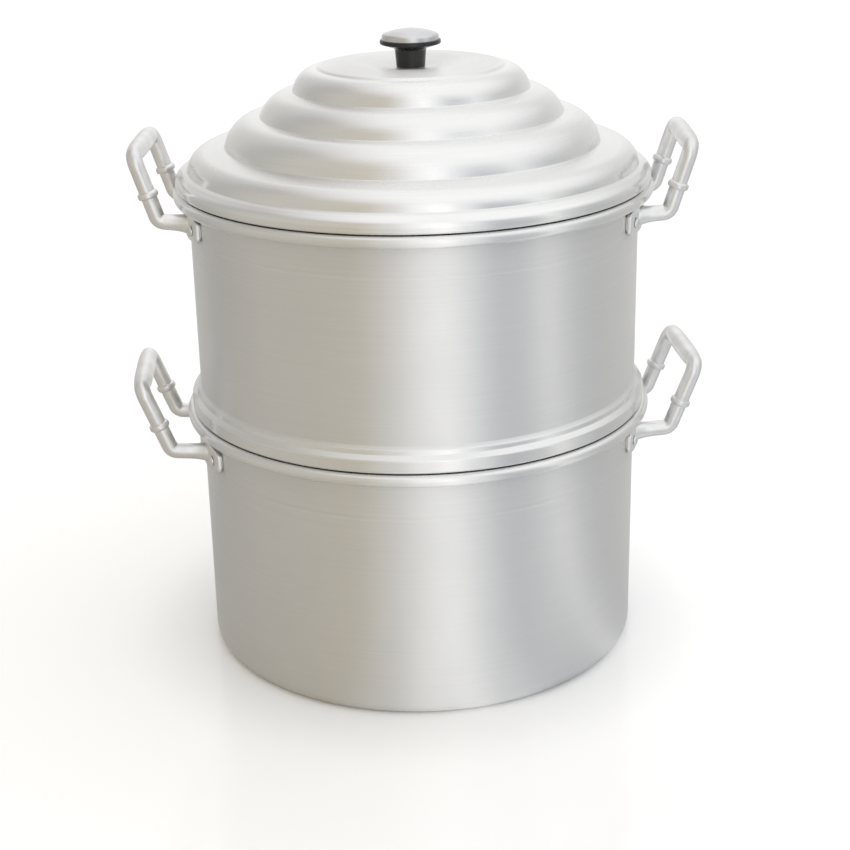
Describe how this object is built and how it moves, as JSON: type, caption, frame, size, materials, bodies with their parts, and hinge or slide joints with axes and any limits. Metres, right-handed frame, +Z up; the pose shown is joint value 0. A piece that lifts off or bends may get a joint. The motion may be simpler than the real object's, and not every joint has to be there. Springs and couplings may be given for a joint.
{
  "type": "steamer pot",
  "caption": "Spun aluminium steamer: a water pot, a perforated steam tier standing in its rim and a stepped lid with a knob; cast loop handles are riveted to both vessels.",
  "frame": {"origin": "middle of the pot's base, on the surface it stands on", "axes": "+Z up, X from the left handles to the right handles (+X is the viewer's right), -Y the front"},
  "size_m": [0.3916, 0.3224, 0.426],
  "materials": {
    "spun_aluminium": "brushed round the axis",
    "cast_aluminium": "tumbled satin casting",
    "rivet_aluminium": "satin",
    "knob_plastic": "gloss moulded",
    "cap_aluminium": "pressed, satin",
    "insert_brass": "turned",
    "screw_steel": "zinc plated"
  },
  "bodies": {
    "water_pot": {"water_pot": "spun_aluminium", "water_pot_handle_right": "cast_aluminium", "water_pot_handle_left": "cast_aluminium", "water_pot_rivets_right_front": "rivet_aluminium", "water_pot_rivets_right_back": "rivet_aluminium", "water_pot_rivets_left_front": "rivet_aluminium", "water_pot_rivets_left_back": "rivet_aluminium"},
    "steam_tier": {"steam_tier": "spun_aluminium", "steam_tier_handle_right": "cast_aluminium", "steam_tier_handle_left": "cast_aluminium", "steam_tier_rivets_right_front": "rivet_aluminium", "steam_tier_rivets_right_back": "rivet_aluminium", "steam_tier_rivets_left_front": "rivet_aluminium", "steam_tier_rivets_left_back": "rivet_aluminium"},
    "lid": {"lid": "spun_aluminium", "knob_body": "knob_plastic", "knob_cap": "cap_aluminium", "knob_insert": "insert_brass", "knob_screw": "screw_steel", "knob_washer": "screw_steel"}
  },
  "joints": [
    {"name": "tier_lift", "type": "slide", "parent": "water_pot", "child": "steam_tier", "axis": [0, 0, 1], "range_m": [0, 0.15]},
    {"name": "lid_lift", "type": "slide", "parent": "steam_tier", "child": "lid", "axis": [0, 0, 1], "range_m": [0, 0.15]}
  ]
}
